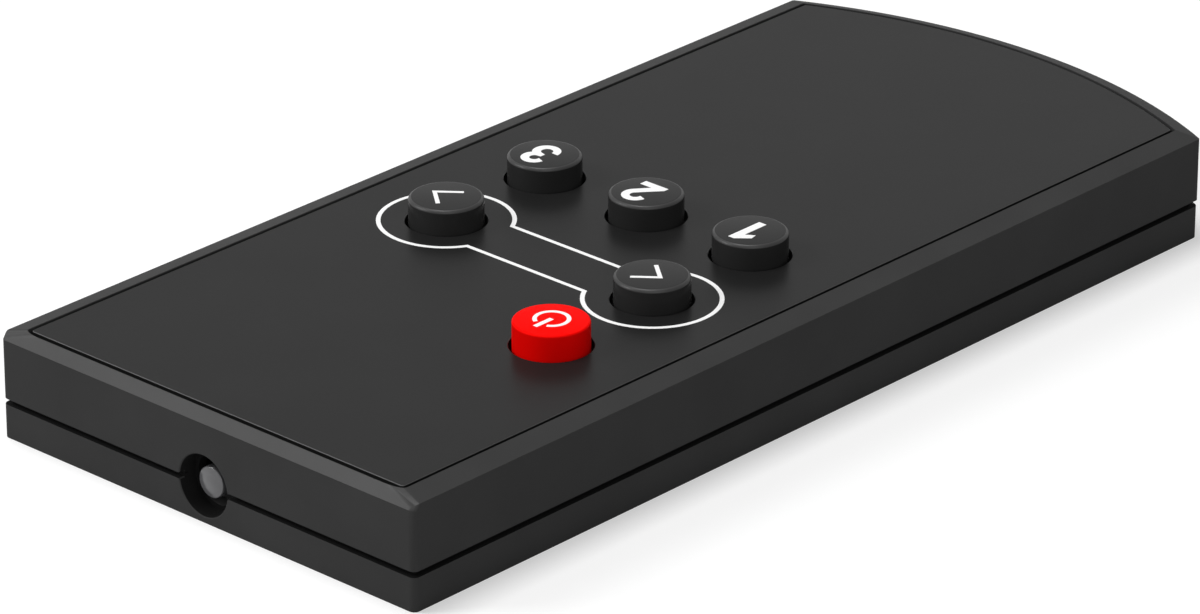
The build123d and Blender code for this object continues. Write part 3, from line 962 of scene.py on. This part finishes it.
def cell_tray():
    """The drawer's flat tray, with a bore under a ledge for the cell and slots for the two springs."""
    low, top = drawer_low, drawer_high.z - shave
    above, below = drawer_high.z + past, tray_low - past
    middle_y = (can_low.y + can_high.y) / 2
    tray = block(
        (-tray_half_width, tray_half_width), (low.y, drawer_inner_y + tray_overlap), (tray_low, top)
    )
    room = [
        (0, below),
        (cell_bore, below),
        (cell_bore, ledge_low),
        (ledge_bore, ledge_low),
        (ledge_bore, above),
        (0, above),
    ]
    open_end = (low.y - past, middle_y)
    slot = block((-spring_slot, spring_slot), open_end, (below, above))
    leaf = block((leaf_slot_x - leaf_slot, leaf_slot_x + leaf_slot), open_end, (cap_high.z, above))
    return cut(tray, turned(room, (0, middle_y, 0)), slot, leaf)


def drawer():
    """The pull-out drawer: the cell tray with the end block."""
    return joined(cell_tray(), end_block())


def cell_pieces():
    """The coin cell's can, sealing ring and cap, as turned forms."""
    centre = ((can_low.x + can_high.x) / 2, (can_low.y + can_high.y) / 2, 0)
    radius, lip = can_high.x - centre[0], can_lip_round
    can = [
        (0, can_low.z),
        *quarter(radius - can_wall, can_low.z + can_wall, can_wall, -90, 90),
        *quarter(radius - lip, can_high.z - lip, lip, 0, 90),
        (radius - can_wall, can_high.z),
        (radius - can_wall, can_low.z + can_wall),
        (0, can_low.z + can_wall),
    ]
    cap_radius, edge = cap_high.x - centre[0], cap_edge_round
    cap = [
        (0, cap_low.z),
        (cap_radius, cap_low.z),
        *quarter(cap_radius - edge, cap_high.z - edge, edge, 0, 90),
        (0, cap_high.z),
    ]
    inner = cap_radius + seal_gap
    seal_radius = seal_high.x - centre[0]
    seal = [
        (inner, seal_low.z),
        (seal_radius, seal_low.z),
        (seal_radius, seal_high.z),
        (inner, seal_high.z),
        (inner, seal_low.z),
    ]
    return turned(can, centre), turned(cap, centre), turned(seal, centre)


# The whole object


def build_case():
    """Both halves of the case, with the plate in the top and the emitter in the end."""
    upper = piece("upper_case", upper_case(), "case", "case_plastic", "top_shell")
    # Painted shade in the groove and the recess
    paint_hollow_shade(upper)
    # Painted highlight on the chamfer over the emitter and its hips
    paint_front_highlight(upper)
    lower = piece("lower_case", lower_case(), "case", "case_plastic", "bottom_shell")
    # Painted shade in the groove and the recess
    paint_hollow_shade(lower)
    plate = piece("top_plate", top_plate(), "case", "plate_plastic", "face_plate")
    # Painted highlight along the plate's rounded upper edge
    paint_edge_highlight(plate, roof_z - plate_edge_round, PAINTED_PLATE_EDGE_HIGHLIGHT)
    piece("emitter_lens", emitter(), "case", "emitter_resin", "ir_emitter")


def build_drawer():
    """The drawer, and the coin cell that it carries."""
    tray = piece("drawer_tray", drawer(), "battery_drawer", "case_plastic", "battery_drawer")
    # Painted shade in the groove across the drawer's end
    paint_hollow_shade(tray)
    can, cap, seal = cell_pieces()
    piece("coin_can", can, "battery_drawer", "cell_steel", "cell_can")
    piece("coin_cap", cap, "battery_drawer", "cell_steel", "cell_cap")
    piece("coin_seal", seal, "battery_drawer", "cell_seal_plastic", "cell_seal")


def build_keys():
    """Each key with its legend and its dome, and the printed line round the two arrow keys."""
    middles = {}
    for key, at, low, top in key_places():
        middles[key] = (at.x, at.y)
        slot = "power_key_plastic" if key == "power" else "key_plastic"
        edge = power_edge_round if key == "power" else key_edge_round
        cap_top = top - ink
        cap = piece(f"{key}_cap", key_cap(at, low, cap_top, edge), f"{key}_key", slot, f"{key}_key")
        if key != "power":
            # Painted highlight along the key's rounded upper edge
            paint_edge_highlight(cap, cap_top - edge, PAINTED_KEY_EDGE_HIGHLIGHT)
        piece(f"{key}_legend", legend(key, at, cap_top), f"{key}_key", None, material=WHITE_INK)
        rubber = piece(f"{key}_spring_dome", dome(at), "case", "silicone", f"{key}_dome")
        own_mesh(rubber)
    link = link_print(middles["next"], middles["previous"])
    piece("link_print", link, "case", None, material=WHITE_INK)


# Stage

# Levels of the sky's light and of the sky that is seen, the floor, and the lamps, in metres
sky_light = 0.15
sky_seen = 1.0
floor_tone = 0.6
floor_glow = 0.45
floor_roughness = 0.9
floor_size = 3
lamp_distance = 0.6

# Camera, from a fit to the case's own edges in the photograph: degrees and millimetres
camera_azimuth = 42.7812
camera_elevation = 24.7103
camera_distance = 502.79
camera_target = (-4.069, 0.108, 0)
camera_lens = 207.44
camera_film = 36
camera_near = 10


def shown_to_eye(nodes, links):
    """One for rays from the camera, a mirror or through glass, and nought for the rest."""
    rays = nodes.new("ShaderNodeLightPath").outputs
    total = rays["Is Camera Ray"]
    for name in ("Is Glossy Ray", "Is Transmission Ray"):
        both = nodes.new("ShaderNodeMath")
        both.operation = "MAXIMUM"
        links.new(total, both.inputs[0])
        links.new(rays[name], both.inputs[1])
        total = both.outputs[0]
    return total


def lit_world():
    """A sky that looks white and lights the object softly."""
    world = bpy.data.worlds.new("studio")
    bpy.context.scene.world = world
    world.use_nodes = True
    nodes, links = world.node_tree.nodes, world.node_tree.links
    background = nodes["Background"]
    background.inputs["Color"].default_value = (1, 1, 1, 1)
    level = nodes.new("ShaderNodeMapRange")
    level.inputs["To Min"].default_value = sky_light
    level.inputs["To Max"].default_value = sky_seen
    links.new(shown_to_eye(nodes, links), level.inputs["Value"])
    links.new(level.outputs["Result"], background.inputs["Strength"])


def pale_floor():
    """A wide floor that looks white and takes the object's shadow."""
    material = bpy.data.materials.new("pale floor")
    material.use_nodes = True
    nodes, links = material.node_tree.nodes, material.node_tree.links
    shader = nodes["Principled BSDF"]
    shader.inputs["Base Color"].default_value = (*grey(floor_tone), 1)
    shader.inputs["Roughness"].default_value = floor_roughness
    shader.inputs["Specular IOR Level"].default_value = 0
    shader.inputs["Emission Color"].default_value = (1, 1, 1, 1)
    level = nodes.new("ShaderNodeMath")
    level.operation = "MULTIPLY"
    level.inputs[1].default_value = floor_glow
    links.new(shown_to_eye(nodes, links), level.inputs[0])
    links.new(level.outputs[0], shader.inputs["Emission Strength"])
    bm = bmesh.new()
    bmesh.ops.create_grid(bm, x_segments=1, y_segments=1, size=floor_size)
    mesh = bpy.data.meshes.new("floor")
    bm.to_mesh(mesh)
    bm.free()
    mesh.materials.append(material)
    floor = bpy.data.objects.new("floor", mesh)
    bpy.context.scene.collection.objects.link(floor)


def towards(azimuth, elevation):
    """The direction of a lamp or the camera, in degrees round from the emitter end and up."""
    a, e = math.radians(azimuth), math.radians(elevation)
    return Vector((math.sin(a) * math.cos(e), -math.cos(a) * math.cos(e), math.sin(e)))


def soft_lamp(name, azimuth, elevation, size, power):
    """A square lamp that looks at the object from a direction."""
    back = towards(azimuth, elevation)
    light = bpy.data.lights.new(name, "AREA")
    light.shape = "SQUARE"
    light.size = size
    light.energy = power
    lamp = bpy.data.objects.new(name, light)
    lamp.location = back * lamp_distance
    lamp.rotation_euler = back.to_track_quat("Z", "Y").to_euler()
    bpy.context.scene.collection.objects.link(lamp)


def photograph_camera():
    """The camera at the photograph's place."""
    data = bpy.data.cameras.new("camera")
    data.sensor_width = camera_film
    data.lens = camera_lens
    data.clip_start = camera_near * MM
    camera = bpy.data.objects.new("camera", data)
    back = towards(camera_azimuth, camera_elevation) * camera_distance * MM
    camera.location = Vector(camera_target) * MM + back
    tilt = math.pi / 2 - math.radians(camera_elevation)
    camera.rotation_euler = (tilt, 0, math.radians(camera_azimuth))
    bpy.context.scene.collection.objects.link(camera)
    bpy.context.scene.camera = camera


dress_packed_nodes()
build_case()
build_drawer()
build_keys()
lit_world()
pale_floor()
soft_lamp("key lamp", azimuth=-45, elevation=36, size=0.24, power=1.75)
soft_lamp("top lamp", azimuth=-80, elevation=80, size=0.2, power=1.9)
soft_lamp("fill lamp", azimuth=48, elevation=30, size=0.5, power=1.05)
photograph_camera()
bpy.context.scene.view_settings.view_transform = "Standard"
